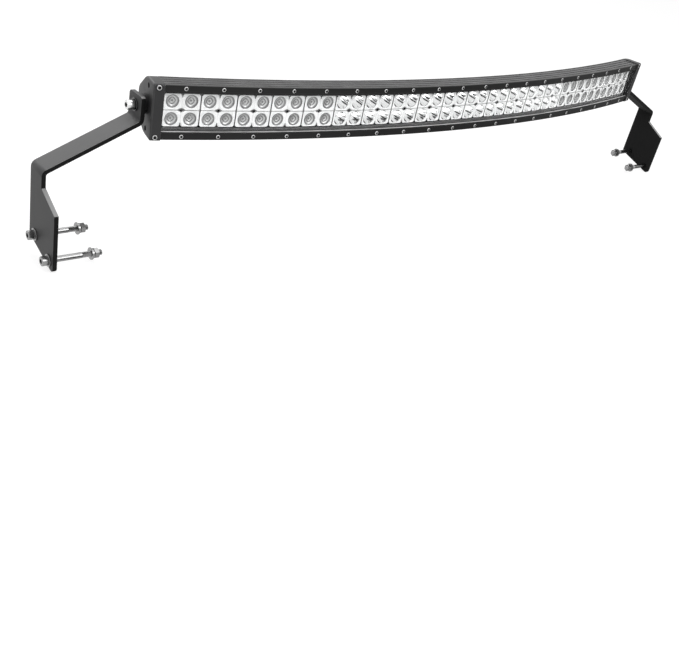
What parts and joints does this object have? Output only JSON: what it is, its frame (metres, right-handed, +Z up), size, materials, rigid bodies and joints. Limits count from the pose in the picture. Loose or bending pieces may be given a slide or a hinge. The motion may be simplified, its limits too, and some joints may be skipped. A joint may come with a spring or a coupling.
{
  "type": "led light bar",
  "caption": "Curved double-row LED light bar in a finned black housing, held at its ends by two bent strip brackets that let it tilt.",
  "frame": {"origin": "midway between the two bracket plates, at the centre of their bolt pairs", "axes": "+X along the bar to its right end, -Y to the front where the light goes, +Z up"},
  "size_m": [1.3608, 0.1208, 0.2355],
  "materials": {
    "black_extrusion": "black anodised aluminium extrusion, satin",
    "black_casting": "black painted die casting, satin",
    "black_powder_coat": "satin black powder coat on steel",
    "clear_lens": "clear gloss polycarbonate",
    "black_rubber": "matt black silicone rubber",
    "chromed_reflector": "vacuum-metallised plastic, bright",
    "white_board": "white solder-masked circuit board",
    "black_nylon": "matt black nylon",
    "zinc_steel": "bright zinc-plated steel"
  },
  "bodies": {
    "brackets": {"bracket_left": "black_powder_coat", "bracket_right": "black_powder_coat", "mount_bolt_left_front": "zinc_steel", "mount_bolt_left_rear": "zinc_steel", "mount_bolt_right_front": "zinc_steel", "mount_bolt_right_rear": "zinc_steel", "mount_head_washer_left_front": "zinc_steel", "mount_head_washer_left_rear": "zinc_steel", "mount_head_washer_right_front": "zinc_steel", "mount_head_washer_right_rear": "zinc_steel", "mount_nut_left_front": "zinc_steel", "mount_nut_left_rear": "zinc_steel", "mount_nut_right_front": "zinc_steel", "mount_nut_right_rear": "zinc_steel", "mount_spring_washer_left_front": "zinc_steel", "mount_spring_washer_left_rear": "zinc_steel", "mount_spring_washer_right_front": "zinc_steel", "mount_spring_washer_right_rear": "zinc_steel", "mount_tube_washer_left_front": "zinc_steel", "mount_tube_washer_left_rear": "zinc_steel", "mount_tube_washer_right_front": "zinc_steel", "mount_tube_washer_right_rear": "zinc_steel"},
    "bar": {"bezel_bottom": "black_extrusion", "bezel_top": "black_extrusion", "breather_vent": "black_nylon", "cable_gland": "black_nylon", "end_cap_left": "black_casting", "end_cap_right": "black_casting", "gland_nut": "black_nylon", "housing": "black_extrusion", "lens": "clear_lens", "lens_gasket": "black_rubber", "light_board_left": "white_board", "light_board_right": "white_board", "pivot_bolt_left": "zinc_steel", "pivot_bolt_right": "zinc_steel", "pivot_spring_washer_left": "zinc_steel", "pivot_spring_washer_right": "zinc_steel", "pivot_washer_left": "zinc_steel", "pivot_washer_right": "zinc_steel", "reflector_01": "chromed_reflector", "reflector_02": "chromed_reflector", "reflector_03": "chromed_reflector", "reflector_04": "chromed_reflector", "reflector_05": "chromed_reflector", "reflector_06": "chromed_reflector", "reflector_07": "chromed_reflector", "reflector_08": "chromed_reflector", "reflector_09": "chromed_reflector", "reflector_10": "chromed_reflector", "reflector_11": "chromed_reflector", "reflector_12": "chromed_reflector", "reflector_13": "chromed_reflector", "reflector_14": "chromed_reflector", "reflector_15": "chromed_reflector", "reflector_16": "chromed_reflector", "reflector_17": "chromed_reflector", "reflector_18": "chromed_reflector", "reflector_19": "chromed_reflector", "reflector_20": "chromed_reflector"}
  },
  "joints": [
    {"name": "bar_tilt", "type": "hinge", "parent": "brackets", "child": "bar", "pos_m": [0, 0.023, 0.17726], "axis": [1, 0, 0], "range_deg": [-45, 45]}
  ]
}
